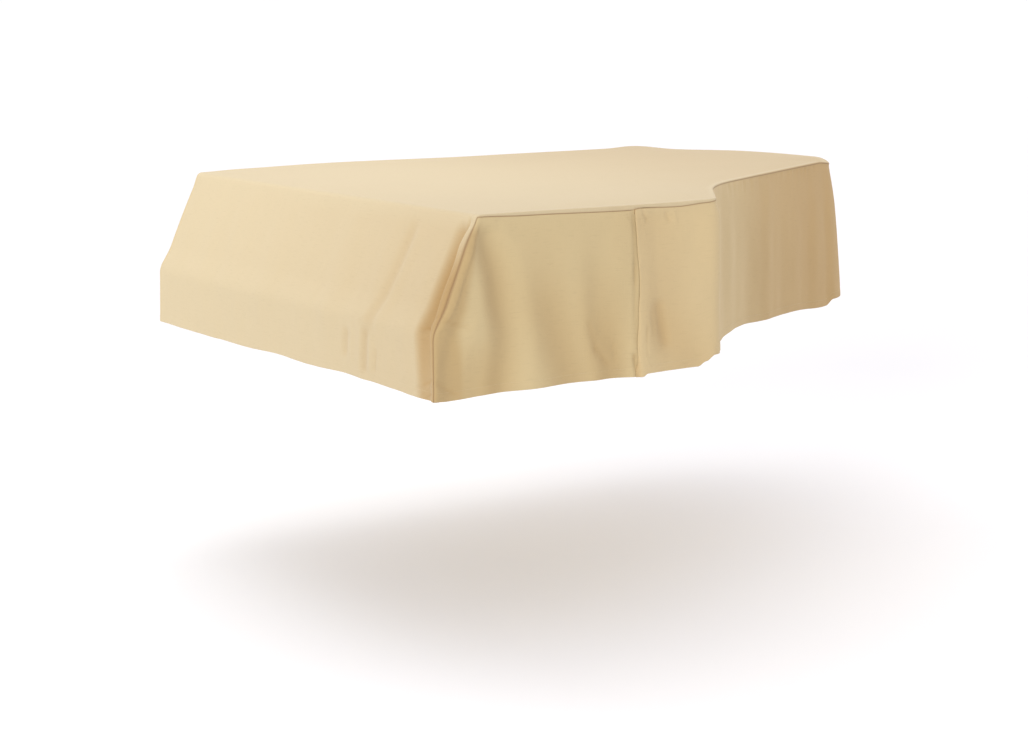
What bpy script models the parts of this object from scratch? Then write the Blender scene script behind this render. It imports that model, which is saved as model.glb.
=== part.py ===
"""Fitted cloth cover for a small grand piano, in the shape in which it hangs over the closed lid.

The cover is sewn from four cut pieces. One large piece lies on the lid, runs down the sloping
front and hangs before the keyboard. Three strips make the rest of the skirt: the treble side,
the bent side with the tail, and the bass side. The piano itself isn't part of it: the cover is
a hollow shell, open below.

Metres, +X to the treble side, +Y to the tail, +Z up. The origin is on the underside of the cloth
that lies on the lid, at half the width and ORIGIN_BACK behind the lid's front edge.

Every piece is a part of one surface. A place on it is a station, measured round the lid's plan
from the bass cheek over the front, and a level, measured down the cloth from the place where it
starts to roll over the lid's edge. Levels below zero lie on the lid.
"""

import math

import bmesh
import bpy
from mathutils import Vector

# ---- driving dimensions ----
SHEET = 0.002              # thickness of the cloth
GAP = 0.0003               # between two pieces along a seam
LID_WIDTH = 1.500          # bass side to treble side
LID_LENGTH = 1.545         # front edge to the end of the tail
ORIGIN_BACK = 0.700        # origin behind the lid's front edge
HEM_DROP = 0.376           # lid to hem
ROLL_DROP = 0.009          # height over which the cloth rolls over the lid's edge
ROLL_LENGTH = 0.015        # cloth in that roll
KEYBOARD_OUT = 0.128       # hem of the front panel before the lid's front edge
CHEEK_BACK = 0.600         # depth of the straight treble side
SLIT_BACK = 0.398          # lapped seam in the treble side, round the plan from the cheek
LAP_WIDTH = 0.012          # width of that lap
LAP_RISE = 0.0045          # how far the upper edge of the lap stands out
LAP_EASE = 0.035           # cloth over which the lap sinks back into the skirt
FLARE_BOW = 0.6            # how much sooner the skirt stands out than on a straight line
FOLD_START = 12            # folds are whole at one part in so many of the skirt
BASS_LEAN = 0.500          # stretch of the bass side that is drawn forward by the sloping front
LIFT_INSIDE = 0.120        # how far a lifted edge is felt on the lid
LIFT_BELOW = 0.150         # how far it is felt down the skirt
MIDDLE_RING = 0.140        # cloth between the lid's edge and the flat middle of the top
MIDDLE_OF_TOP = Vector((-0.10, 0.60))
MAX_TURN = math.radians(23)
COTTON = (0.80, 0.69, 0.49, 1.0)
ROUGHNESS = 0.92

HALF_WIDTH = LID_WIDTH / 2

# Corners of the lid's plan, each rounded off
LID_CORNERS = (
    # name, right of the middle, behind the front edge, rounding
    ("bass cheek", -HALF_WIDTH, 0.0, 0.014),
    ("treble cheek", HALF_WIDTH, 0.0, 0.014),
    ("treble corner", HALF_WIDTH + 0.010, CHEEK_BACK, 0.070),
    ("bent side", 0.470, 0.803, 0.550),
    ("tail treble", 0.062, 1.510, 0.100),
    ("tail end", -0.350, LID_LENGTH, 0.700),
    ("tail bass", -HALF_WIDTH, 1.400, 0.080),
)

# Corners of the front's profile, from the lid's edge down
FRONT_CORNERS = (
    # name, out from the lid's edge, down, rounding
    ("lid edge", 0.000, 0.000, 0.0),
    ("key slip", 0.089, 0.193, 0.100),
    ("key bed", 0.122, 0.240, 0.050),
    ("hem", KEYBOARD_OUT, 0.420, 0.0),
)

# How far the hem stands out from the lid's plan
FLARES = (
    # mark, cloth beyond it, flare
    ("bass cheek", 0.00, 0.003),
    ("treble cheek", 0.00, 0.016),
    ("treble cheek", 0.02, 0.016),
    ("treble cheek", 0.20, 0.020),
    ("treble corner", -0.20, 0.012),
    ("treble corner", 0.00, 0.017),
    ("bent side", 0.00, 0.012),
    ("tail treble", -0.25, 0.016),
    ("tail treble", 0.05, 0.036),
    ("tail bass", -0.10, 0.026),
    ("tail bass", 0.60, 0.012),
    ("bass cheek", -0.10, 0.005),
    ("bass cheek", -0.02, 0.003),
)

# Length of the skirt
HEMS = (
    # mark, cloth beyond it, lid to hem
    ("bass cheek", 0.00, 0.382),
    ("bass cheek", 0.20, 0.388),
    ("bass cheek", 0.55, 0.386),
    ("treble cheek", -0.75, 0.380),
    ("treble cheek", -0.60, 0.382),
    ("treble cheek", -0.40, 0.377),
    ("treble cheek", -0.14, 0.378),
    ("treble cheek", -0.09, 0.383),
    ("treble cheek", -0.02, 0.382),
    ("treble cheek", 0.015, 0.387),
    ("treble cheek", 0.12, 0.375),
    ("treble cheek", 0.30, 0.377),
    ("treble cheek", 0.398, 0.382),
    ("treble cheek", 0.41, 0.377),
    ("treble corner", -0.050, 0.373),
    ("treble corner", -0.030, 0.364),
    ("bent side", -0.10, 0.370),
    ("bent side", 0.15, 0.362),
    ("bent side", 0.29, 0.367),
    ("bent side", 0.45, 0.370),
    ("bent side", 0.70, 0.384),
    ("bent side", 0.73, 0.370),
    ("tail treble", 0.10, 0.370),
    ("tail bass", 0.00, 0.374),
    ("bass cheek", -0.60, 0.380),
)

# Places where the seam round the lid's edge lies higher or lower than the lid
LIFTS = (
    # mark, cloth beyond it, lift
    ("bass cheek", 0.00, 0.000),
    ("treble cheek", 0.00, 0.000),
    ("treble corner", -0.12, -0.004),
    ("treble corner", 0.10, -0.002),
    ("tail treble", 0.00, 0.000),
    ("tail end", 0.00, -0.003),
    ("tail bass", -0.15, -0.005),
    ("tail bass", 0.00, 0.001),
    ("tail bass", 0.09, -0.003),
    ("tail bass", 0.50, -0.001),
    ("bass cheek", -0.35, 0.005),
    ("bass cheek", -0.12, 0.003),
)

# Folds of the skirt. A trough has a depth below zero
FOLDS = (
    # mark, cloth beyond it at the top and at the hem, half width, depth at top, half way and hem
    ("bass cheek", 0.000, 0.000, 0.090, -0.004, -0.001, 0.005),
    ("treble cheek", -1.20, -1.14, 0.080, 0.000, -0.003, 0.002),
    ("treble cheek", -0.88, -0.84, 0.100, 0.000, 0.003, 0.004),
    ("treble cheek", -0.52, -0.50, 0.070, 0.001, 0.003, 0.003),
    ("treble cheek", -0.44, -0.40, 0.060, -0.002, -0.004, -0.005),
    ("treble cheek", -0.33, -0.31, 0.045, 0.001, 0.003, 0.004),
    ("treble cheek", -0.20, -0.25, 0.070, -0.003, -0.005, -0.005),
    ("treble cheek", -0.10, -0.13, 0.040, 0.002, 0.004, 0.005),
    ("treble cheek", -0.052, -0.032, 0.030, -0.009, -0.011, -0.006),
    ("treble cheek", 0.004, 0.004, 0.018, 0.004, 0.006, 0.003),
    ("treble cheek", 0.018, 0.163, 0.032, -0.006, -0.013, -0.009),
    ("treble cheek", 0.075, 0.190, 0.034, 0.003, 0.006, 0.003),
    ("treble cheek", 0.145, 0.226, 0.036, -0.002, -0.008, -0.007),
    ("treble cheek", 0.230, 0.272, 0.040, 0.001, 0.004, 0.004),
    ("treble cheek", 0.276, 0.326, 0.026, 0.000, -0.006, -0.007),
    ("treble cheek", 0.350, 0.368, 0.030, 0.001, 0.002, 0.003),
    ("treble cheek", 0.424, 0.462, 0.034, -0.002, -0.007, -0.004),
    ("bent side", 0.150, 0.110, 0.060, 0.002, 0.005, 0.007),
    ("bent side", 0.250, 0.210, 0.060, 0.000, -0.004, -0.006),
    ("bent side", 0.370, 0.330, 0.050, 0.003, 0.005, 0.006),
    ("bent side", 0.440, 0.410, 0.040, -0.001, -0.004, -0.004),
    ("bent side", 0.520, 0.480, 0.050, 0.002, 0.004, 0.005),
    ("bent side", 0.650, 0.610, 0.050, 0.003, 0.005, 0.006),
    ("bent side", 0.720, 0.700, 0.040, -0.002, -0.005, -0.008),
    ("tail treble", 0.120, 0.100, 0.080, 0.000, -0.006, -0.010),
    ("tail end", -0.150, -0.120, 0.080, 0.001, 0.006, 0.009),
    ("tail end", 0.050, 0.060, 0.080, 0.000, -0.006, -0.010),
    ("tail bass", -0.180, -0.160, 0.080, 0.001, 0.005, 0.008),
    ("tail bass", 0.160, 0.180, 0.110, 0.000, -0.005, -0.008),
    ("tail bass", 0.420, 0.440, 0.140, 0.000, 0.005, 0.008),
    ("bass cheek", -0.700, -0.680, 0.140, 0.000, -0.004, -0.006),
    ("bass cheek", -0.380, -0.400, 0.120, 0.000, 0.004, 0.006),
    ("bass cheek", -0.080, -0.140, 0.080, -0.003, -0.008, -0.006),
)


class Path:
    """A line of straights and arcs through corners that are rounded off.

    A closed path starts half way round its first corner, an open one at its first corner.
    """

    def __init__(self, corners, closed):
        self.closed = closed
        self.pieces = []
        self.mark = {}
        self.length = 0.0
        count = len(corners)
        places = [Vector(row[1:3]) for row in corners]
        radii = [row[3] for row in corners]
        ways = [places[(i + 1) % count] - places[i] for i in range(count)]
        headings = [math.atan2(way.y, way.x) for way in ways]
        turns = [math.remainder(headings[i] - headings[i - 1], math.tau) for i in range(count)]
        if not closed:
            turns[0] = turns[-1] = 0.0
        halves = [radius * abs(turn) / 2 for radius, turn in zip(radii, turns)]
        bends = [math.copysign(1 / radius, turn) if radius else 0.0 for radius, turn in zip(radii, turns)]
        reaches = [radius * math.tan(abs(turn) / 2) for radius, turn in zip(radii, turns)]
        self.heading = headings[0] - turns[0] / 2
        half_round = self.along(halves[0], self.heading, bends[0])
        self.point = places[0] + self.along(reaches[0], headings[0], 0.0) - half_round
        for i in range(count if closed else count - 1):
            after = (i + 1) % count
            self.mark[corners[i][0]] = self.length
            self.add(halves[i], bends[i])
            self.add(ways[i].length - reaches[i] - reaches[after], 0.0)
            self.add(halves[after], bends[after])

    def add(self, length, bend):
        """Go on for LENGTH, turning by BEND a metre."""
        if length > 0.0:
            self.pieces.append((self.length, length, self.point, self.heading, bend))
            self.point = self.point + self.along(length, self.heading, bend)
            self.heading += bend * length
            self.length += length

    @staticmethod
    def along(travel, heading, bend):
        """Way covered in TRAVEL from a start at HEADING, on a line that turns by BEND a metre."""
        if bend == 0.0:
            return travel * Vector((math.cos(heading), math.sin(heading)))
        end = heading + bend * travel
        return Vector((math.sin(end) - math.sin(heading), math.cos(heading) - math.cos(end))) / bend

    def at(self, station):
        """Point and heading at STATION."""
        if self.closed:
            station %= self.length
        for begin, length, start, heading, bend in self.pieces:
            if station <= begin + length:
                break
        travel = station - begin
        return start + self.along(travel, heading, bend), heading + bend * travel

    def beyond(self, mark, cloth):
        """Station that lies CLOTH beyond a mark."""
        station = self.mark[mark] + cloth
        return station % self.length if self.closed else station

    def apart(self, one, other):
        """Signed way from station OTHER to station ONE, the short way round."""
        return math.remainder(one - other, self.length)

    def stations(self, start, end, step):
        """Stations from START to END, at most STEP apart, and closer where the path turns."""
        cuts = [start]
        cuts += [begin for begin, *_ in self.pieces if start + GAP < begin < end - GAP]
        cuts.append(end)
        result = [start]
        for low, high in zip(cuts, cuts[1:]):
            turn = abs(self.at(high - GAP)[1] - self.at(low + GAP)[1])
            count = max(1, math.ceil((high - low) / step - 0.01), math.ceil(turn / MAX_TURN - 0.1))
            result += [low + (high - low) * i / count for i in range(1, count + 1)]
        return result


PLAN = Path(LID_CORNERS, closed=True)
FRONT = Path(FRONT_CORNERS, closed=False)
FRONT_TURN = FRONT.at(0.0)[1]
FRONT_START = ROLL_DROP / math.sin(FRONT_TURN)      # end of the roll, along the front's profile
FRONT_HEM = FRONT.length - (FRONT_CORNERS[-1][2] - HEM_DROP)
TREBLE_CHEEK = PLAN.mark["treble cheek"]
SLIT = TREBLE_CHEEK + SLIT_BACK
TAIL_BASS = PLAN.mark["tail bass"]


def mix(one, other, share):
    """Value that lies SHARE of the way from ONE to OTHER."""
    return one + (other - one) * share


def ease(share):
    """SHARE between 0 and 1, with a soft start and end."""
    share = min(max(share, 0.0), 1.0)
    return share * share * (3 - 2 * share)


def placed(table):
    """Rows of TABLE as station and value, in order round the plan."""
    return sorted((PLAN.beyond(mark, cloth), value) for mark, cloth, value in table)


FLARE_ROWS = placed(FLARES)
HEM_ROWS = placed(HEMS)
LIFT_ROWS = placed(LIFTS)


def around(rows, station):
    """Value at STATION, eased from row to row round the plan."""
    station %= PLAN.length
    before = [row for row in rows if row[0] <= station]
    after = [row for row in rows if row[0] > station]
    low = before[-1] if before else (rows[-1][0] - PLAN.length, rows[-1][1])
    high = after[0] if after else (rows[0][0] + PLAN.length, rows[0][1])
    return mix(low[1], high[1], ease((station - low[0]) / (high[0] - low[0])))


def folds(station, share):
    """How far the folds stand out at STATION, SHARE of the way down the skirt."""
    total = 0.0
    for mark, at_top, at_hem, width, top, middle, hem in FOLDS:
        centre = PLAN.beyond(mark, mix(at_top, at_hem, share))
        off = PLAN.apart(station, centre) / width
        if abs(off) < 1:
            depth = mix(top, middle, ease(2 * share)) if share < 0.5 else mix(middle, hem, ease(2 * share - 1))
            total += depth * (1 + math.cos(math.pi * off)) / 2
    return total


def roll(level, turn):
    """Way out and down on the roll over an edge where the cloth turns by TURN."""
    radius = ROLL_DROP / (1 - math.cos(turn))
    angle = turn * min(max(level / ROLL_LENGTH, 0.0), 1.0)
    return radius * (math.sin(angle) - math.tan(turn / 2)), radius * (1 - math.cos(angle))


def forward(station):
    """Share of the front's slope that draws the cloth forward at STATION."""
    lean_treble = PLAN.apart(station, TREBLE_CHEEK) / SLIT_BACK
    lean_bass = -PLAN.apart(station, 0.0) / BASS_LEAN
    if 0 < lean_treble < 1:
        return 1 - lean_treble
    if 0 < lean_bass < 1:
        return 1 - lean_bass
    return 1.0 if station % PLAN.length <= TREBLE_CHEEK else 0.0


def outer(station, level, rise=0.0):
    """Point on the outer face of the cover. RISE lifts the cloth off its neighbour."""
    place, heading = PLAN.at(station)
    outward = Vector((math.sin(heading), -math.cos(heading)))
    facing = max(0.0, -outward.y) ** 2
    side_out, side_down = roll(level, math.pi / 2)
    front_out, front_down = roll(level, FRONT_TURN)
    share = 0.0
    if level > ROLL_LENGTH:
        (front_out, front_down), _ = FRONT.at(level - ROLL_LENGTH + FRONT_START)
        side_down = front_down
        share = (front_down - ROLL_DROP) / (HEM_DROP - ROLL_DROP)
    down = mix(side_down, front_down, facing)

    # the section at this level: the lid's plan, drawn in or out at its sides and at its front
    if facing > 0.01:
        sideways = Vector((min(max(place.x / HALF_WIDTH, -1.0), 1.0), 0.0))
        flare = around(FLARE_ROWS, TREBLE_CHEEK if place.x > 0 else 0.0)
    else:
        sideways = outward
        flare = around(FLARE_ROWS, station)
    side_out += flare * share * (1 + FLARE_BOW * (1 - share))
    place = place + side_out * sideways + Vector((0.0, -front_out * forward(station)))
    place += outward * (folds(station, share) * ease(share * FOLD_START) + rise)
    down += (around(HEM_ROWS, station) - HEM_DROP) * share * share
    if level < 0:
        place = place + (MIDDLE_OF_TOP - place).normalized() * -level

    felt = 1 + level / LIFT_INSIDE if level < 0 else 1 - level / LIFT_BELOW
    height = SHEET - down + around(LIFT_ROWS, station) * ease(felt)
    return Vector((place.x, place.y - ORIGIN_BACK, height))


def shell_point(station, level, rise=0.0):
    """Point on the outer face and the one below it on the inner face."""
    step = 0.0005
    point = outer(station, level, rise)
    round_it = outer(station + step, level, rise) - outer(station - step, level, rise)
    down_it = outer(station, level + step, rise) - outer(station, level - step, rise)
    return point, point - round_it.cross(-down_it).normalized() * SHEET


def lap_rise(station):
    """How far the bent side's piece stands off the piece it laps over."""
    cloth = PLAN.apart(station, SLIT)
    if cloth > LAP_WIDTH:
        return mix(SHEET + 2 * GAP, 0.0, ease((cloth - LAP_WIDTH) / LAP_EASE))
    return mix(LAP_RISE, SHEET + 2 * GAP, max(cloth, 0.0) / LAP_WIDTH)


def skirt_levels(step):
    """Levels from just below the roll to the hem, closer where the front's profile bends."""
    return [t - FRONT_START + ROLL_LENGTH for t in FRONT.stations(FRONT_START + GAP, FRONT_HEM, step)]


def even_levels(count):
    """COUNT steps from just below the roll to the hem, for a skirt that hangs straight."""
    top = ROLL_LENGTH + GAP
    hem = FRONT_HEM - FRONT_START + ROLL_LENGTH
    return [mix(top, hem, i / count) for i in range(count + 1)]


def cloth_material(name):
    """Undyed cotton."""
    material = bpy.data.materials.new(name)
    material.use_nodes = True
    shader = material.node_tree.nodes["Principled BSDF"]
    shader.inputs["Base Color"].default_value = COTTON
    shader.inputs["Roughness"].default_value = ROUGHNESS
    shader.inputs["Metallic"].default_value = 0.0
    return material


class Shell:
    """A sheet of cloth with an outer and an inner face, grown from a grid of stations and levels."""

    def __init__(self, name):
        self.name = name
        self.mesh = bmesh.new()
        self.pairs = {}

    def pair(self, station, level, rise):
        """The outer and inner vertex at one place, made once."""
        key = (round(station, 5), round(level, 5))
        if key not in self.pairs:
            points = shell_point(station, level, rise)
            self.pairs[key] = tuple(self.mesh.verts.new(point) for point in points)
        return self.pairs[key]

    def strip(self, stations, levels, rises=None, closed=False):
        """Faces over a grid of STATIONS and LEVELS."""
        rises = rises or [0.0] * len(stations)
        grid = [[self.pair(s, level, rise) for level in levels] for s, rise in zip(stations, rises)]
        if closed:
            grid.append(grid[0])
        for left, right in zip(grid, grid[1:]):
            for i in range(len(levels) - 1):
                corners = (left[i], left[i + 1], right[i + 1], right[i])
                self.mesh.faces.new([corner[0] for corner in corners])
                self.mesh.faces.new([corner[1] for corner in reversed(corners)])

    def lid(self, stations, level):
        """The flat middle of the top, inside the ring of STATIONS at LEVEL."""
        ring = [self.pair(station, level, 0.0) for station in stations]
        self.mesh.faces.new([corner[0] for corner in ring])
        self.mesh.faces.new([corner[1] for corner in reversed(ring)])

    def finish(self):
        """Close the rim between the two faces and make the object."""
        inner = {outer_vert: inner_vert for outer_vert, inner_vert in self.pairs.values()}
        rim = [edge for edge in self.mesh.edges if edge.is_boundary and edge.verts[0] in inner]
        for edge in rim:
            one, other = (loop.vert for loop in (edge.link_loops[0], edge.link_loops[0].link_loop_next))
            self.mesh.faces.new((other, one, inner[one], inner[other]))
        bmesh.ops.recalc_face_normals(self.mesh, faces=self.mesh.faces)
        mesh = bpy.data.meshes.new(self.name)
        self.mesh.to_mesh(mesh)
        self.mesh.free()
        mesh.shade_smooth()
        mesh.set_sharp_from_angle(angle=math.radians(50))
        mesh.materials.append(cloth_material(self.name + "_cotton"))
        cover_piece = bpy.data.objects.new(self.name, mesh)
        bpy.context.scene.collection.objects.link(cover_piece)


def clear_scene():
    """Start from an empty scene."""
    for existing in list(bpy.data.objects):
        bpy.data.objects.remove(existing, do_unlink=True)


def main():
    """Make the four pieces of the cover."""
    clear_scene()
    folded_front = TREBLE_CHEEK - 0.50
    bend = PLAN.mark["bent side"]
    tail = PLAN.mark["tail treble"]
    front = PLAN.stations(0.0, folded_front, 0.060)[:-1] + PLAN.stations(folded_front, TREBLE_CHEEK, 0.018)
    treble = PLAN.stations(TREBLE_CHEEK + GAP, SLIT + LAP_WIDTH, 0.018)
    past_lap = SLIT + LAP_WIDTH
    bent = [SLIT] + PLAN.stations(past_lap, past_lap + 0.09, 0.018)[:-1]
    bent += PLAN.stations(past_lap + 0.09, bend, 0.028)[:-1] + PLAN.stations(bend, tail, 0.030)[:-1]
    bent += PLAN.stations(tail, TAIL_BASS, 0.060)
    bass = PLAN.stations(TAIL_BASS + GAP, PLAN.length - GAP, 0.080)
    ring = front + [s for s in treble[1:] if s < SLIT - GAP] + bent + bass[1:-1]
    levels = skirt_levels(0.050)

    top = Shell("top_and_front")
    top.lid(ring, -MIDDLE_RING)
    top.strip(ring, (-MIDDLE_RING, 0.0, ROLL_LENGTH / 2, ROLL_LENGTH), closed=True)
    top.strip(front, [ROLL_LENGTH] + levels[1:])
    top.finish()

    for name, stations, rows in (("treble_side", treble, levels), ("bass_side", bass, levels)):
        side = Shell(name)
        side.strip(stations, rows)
        side.finish()

    bent_side = Shell("bent_side")
    bent_side.strip(bent, even_levels(7), [lap_rise(station) for station in bent])
    bent_side.finish()


main()
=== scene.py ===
"""A grand piano cover: fine cloth, hems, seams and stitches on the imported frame, and a studio.

Metres, apart from the tables given to metres(), in the frame's own axes: +X to the treble side,
+Y to the tail, +Z up. A place on the cover is a station, measured round the lid's plan from the
bass cheek over the front, and a level, measured down the cloth from where it starts to roll over
the lid's edge. Levels below zero lie on the lid. The cover's sizes are those of the frame's own
source; its hems, folds and seams are drawn in finer tables here.
"""

import math

import bpy
import numpy as np
from bpy.props import FloatProperty, FloatVectorProperty, PointerProperty
from mathutils import Matrix, Vector


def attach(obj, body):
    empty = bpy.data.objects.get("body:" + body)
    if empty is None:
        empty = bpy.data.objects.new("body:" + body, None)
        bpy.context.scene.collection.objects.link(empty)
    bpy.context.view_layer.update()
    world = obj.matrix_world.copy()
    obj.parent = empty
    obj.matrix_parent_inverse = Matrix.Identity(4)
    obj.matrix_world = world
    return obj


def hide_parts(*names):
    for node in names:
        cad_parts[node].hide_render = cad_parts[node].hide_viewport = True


bl_info = {
    "name": "Grand Piano Cover",
    "version": (1, 0, 0),
    "blender": (4, 5, 0),
    "location": "View3D > Sidebar > Piano Cover",
    "description": "Makes the cloth, the stitches and the studio of a fitted grand piano cover",
    "category": "Object",
}

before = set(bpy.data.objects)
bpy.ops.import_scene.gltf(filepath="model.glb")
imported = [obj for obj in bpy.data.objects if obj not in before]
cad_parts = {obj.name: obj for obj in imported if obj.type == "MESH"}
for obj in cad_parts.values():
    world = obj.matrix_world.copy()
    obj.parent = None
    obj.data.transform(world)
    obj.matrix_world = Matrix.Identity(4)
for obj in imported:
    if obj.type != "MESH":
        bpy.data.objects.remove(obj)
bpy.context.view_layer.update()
BODY = "root"


def metres(table):
    """TABLE, whose numbers are in millimetres, in metres."""
    if isinstance(table, tuple):
        return tuple(metres(value) for value in table)
    return table if isinstance(table, str) else table / 1000


# ---- the cover's shape, as the frame has it ----

HALF_WIDTH = 0.750  # half the lid's width
LID_LENGTH = 1.545  # front edge to the end of the tail
ORIGIN_BACK = 0.700  # origin behind the lid's front edge
LID_TOP = 0.002  # outer face of the cloth on the lid
HEM_DROP = 0.376  # lid to hem
ROLL_DROP = 0.009  # height over which the cloth rolls over the lid's edge
KEYBOARD_OUT = 0.128  # hem of the front panel before the lid's front edge
CHEEK_BACK = 0.600  # depth of the straight treble side
SLIT_BACK = 0.398  # lapped seam in the treble side, round the plan from the cheek
LAP_WIDTH = 0.012  # width of that lap
LAP_RISE = 0.0040  # how far the upper edge of the lap stands out
LAP_SEAT = 0.0029  # how far the lap stands out where it lies flat
LAP_EASE = 0.035  # cloth over which the lap sinks back into the skirt
LAP_HEAD = 0.060  # cloth below the lid over which it starts to stand open
LAP_REACH = 0.060  # cloth on both sides of it that its edge draws along
BESIDE_LAP = 0.120  # cloth beyond the lap that is meshed as finely as the lap
FLARE_BOW = 0.6  # how much sooner the skirt stands out than on a straight line
FOLD_START = 12  # folds are whole at one part in so many of the skirt
FRONT_FACING = 0.06  # cloth that faces forward at least this much hangs as the front does
BASS_LEAN = 0.500  # stretch of the bass side that is drawn forward by the sloping front
LIFT_INSIDE = 0.120  # how far a lifted edge is felt on the lid
LIFT_BELOW = 0.150  # how far it is felt down the skirt
MIDDLE_OF_TOP = (-0.10, 0.60)

# ---- the fine cloth ----

EDGE_ROUND = 0.003  # rounding of the cloth over the lid's side edge
ROLL_FLAT = ROLL_DROP - EDGE_ROUND
ROLL_LENGTH = ROLL_FLAT + EDGE_ROUND * math.pi / 2 + ROLL_DROP - EDGE_ROUND
TURN = 0.0011  # outer radius of a turned-in edge
SEAM_HALF = -0.0001  # half the gap between two pieces along a seam, where they press together
ALLOWANCE = 0.010  # cloth turned in along a seam
HEM_TURN = 0.024  # cloth turned up inside the hem
HEM_STITCH = 0.018  # stitches above the hem
STITCH_START = 0.003  # from a seam to the first stitch
STITCH_LENGTH = 0.0029
STITCH_PITCH = 0.0034  # from one stitch to the next
THREAD_WIDTH = 0.0006
STITCH_LEAN = 0.10  # how far a stitch leans down the cloth, as a share of its length
STITCH_UNEVEN = (0.05, 911.0)  # how much more or less that is, and that wave's turns along the hem
STITCH_SEAT = 0.15  # how far a stitch stands off the cloth, as a share of its width
SEAM_SHADE = 0.0022  # cloth beside a seam that has painted shadow
SEAM_OVER = 0.0016  # how far the cloth turned in along the lid's edge stands out over the seam
SEAM_UNDER = 0.0009  # and under it
SEAM_OVER_REACH = 0.005  # how far from the seam the first of them reaches
SEAM_UNDER_REACH = 0.012  # and the second
SEAM_FADE = 0.012  # cloth over which both start, beside a cheek
BAND_HEIGHT = 0.0030  # how far the cloth turned in at a cheek's seam stands out beside it
BAND_LOW = 0.3  # share of that height that is left at the hem
BAND_FALL = (0.45, 0.3)  # share of the skirt where it starts to grow lower, and over which it does
BAND_HEAD = 0.05  # cloth below the lid over which it grows
BAND_WIDTHS = (0.012, 0.014)  # how wide it is at the lid and at the hem
BAND_END = 0.004  # cloth over which it ends
BAND_SINK = 0.2  # how much lower than the cloth the seam lies, as a share of the height
BEYOND_BAND = 0.9  # a swelling beyond the seam, as a share of the height
BEYOND_MIDDLE = 0.007  # its middle, from the seam
BEYOND_HALF = 0.012  # half its width
BEYOND_END = (0.010, 0.010)  # where from the seam it starts to end, and over how much cloth
HEM_SWELL = 0.0005  # how far the doubled hem stands out
HEM_FADE = 0.004  # cloth over which that ends
STITCH_DENT = 0.0005  # how deep the stitches draw in
DENT_HALF = 0.0025  # half the width of that dent
STEP = 0.0005  # for slopes
FLAT_LEVEL = -0.040  # from here to the middle of the lid, the cloth faces straight up
MERGED = 0.00002  # points of two grids that are closer than this are one

# Spacing of the fine cloth's grids: at both ends, between them, and how far from an end it grows
SKIRT_ROWS = (0.0022, 0.0075, 0.060)
FRONT_ROWS = (0.0025, 0.0075, 0.060)
FRONT_COLUMNS = (0.0025, 0.0065, 0.120)
LID_COLUMNS = (0.0040, 0.0085, 0.100)
LAP_COLUMNS = (0.0022, 0.0045, 0.030)  # on the treble side, and beside the lap
BENT_COLUMNS = (0.0045, 0.0068, 0.200)
BASS_COLUMNS = (0.0025, 0.0085, 0.060)

# Rings of the cloth on the lid
LID_INNER = (1.0, 0.93, 0.85, 0.76, 0.66, 0.56, 0.46, 0.36, 0.27)  # shares of the way to its middle
LID_OUTER = (0.120, 0.080, 0.050, 0.028, 0.012)  # ways in from its edge
LID_OVER = (0.0, 0.20, 0.34, 0.44, 0.54, 0.64, 0.74, 0.86, 1.0)  # shares of the way over its edge

# Yarns of the weave: changes a metre along the cloth's rows and down it
WEFT = (28.0, 520.0)
WARP = (460.0, 20.0)
SLUBS = (34.0, 300.0)
SLUB_START = (0.60, 0.74)  # shares of that unevenness where a slub starts and is whole

# Each piece's share of the cotton's colour: painted light and shade, the top paler and cooler, the
# hanging sides warmer, as the light falls on them
TOP_LIGHT_TINT = (1.02, 1.02, 1.04)
SIDE_SHADE_TINT = (1.00, 0.97, 0.88)
BENT_SHADE_TINT = (1.04, 0.995, 0.91)

# Corners of the lid's plan, each rounded off
LID_CORNERS = (
    # name, right of the middle, behind the front edge, rounding
    ("bass cheek", -HALF_WIDTH, 0.0, 0.014),
    ("treble cheek", HALF_WIDTH, 0.0, 0.008),
    ("treble corner", HALF_WIDTH + 0.012, CHEEK_BACK + 0.006, 0.034),
    ("bent side", 0.470, 0.803, 0.550),
    ("tail treble", 0.062, 1.510, 0.150),
    ("tail end", -0.350, LID_LENGTH, 0.700),
    ("tail bass", -HALF_WIDTH, 1.400, 0.080),
)

# Corners of the front's profile, from the lid's edge down
FRONT_CORNERS = (
    # name, out from the lid's edge, down, rounding
    ("lid edge", 0.000, 0.000, 0.0),
    ("key slip", 0.089, 0.193, 0.100),
    ("key bed", 0.122, 0.240, 0.050),
    ("hem", KEYBOARD_OUT, 0.420, 0.0),
)

# How far the hem stands out from the lid's plan
FLARES = metres((
    # mark, then cloth beyond it and flare
    ("bass cheek", (0, 3), (-100, 5), (-20, 3)),
    ("treble cheek", (0, 16), (20, 16), (200, 20)),
    ("treble corner", (-200, 12), (0, 10)),
    ("bent side", (0, 12)),
    ("tail treble", (-250, 16), (50, 36)),
    ("tail bass", (-100, 26), (600, 12)),
))

# Length of the skirt
HEMS = metres((
    # mark, then cloth beyond it and lid to hem
    ("bass cheek", (0, 388), (200, 388), (550, 386), (-600, 380)),
    ("treble cheek", (-750, 380), (-600, 382), (-400, 377), (-140, 380), (-90, 382), (-30, 383.5),
     (2, 384), (30, 387), (120, 382), (220, 379), (320, 380), (398, 383), (410, 377)),
    ("treble corner", (-50, 377), (-28, 367), (-6, 354)),
    ("bent side", (-100, 374), (150, 362), (290, 367), (450, 370), (700, 384), (730, 370)),
    ("tail treble", (100, 370)),
    ("tail bass", (0, 374)),
))

# Places where the seam round the lid's edge lies higher or lower than the lid
LIFTS = metres((
    # mark, then cloth beyond it and lift
    ("bass cheek", (0, 0), (-350, 5), (-120, 3)),
    ("treble cheek", (0, 0)),
    ("treble corner", (-120, -4), (100, -2)),
    ("tail treble", (-120, 0), (-10, -9), (90, 0)),
    ("tail end", (0, -2)),
    ("tail bass", (-150, -5), (0, 1), (90, -3), (500, -1)),
))

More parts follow.
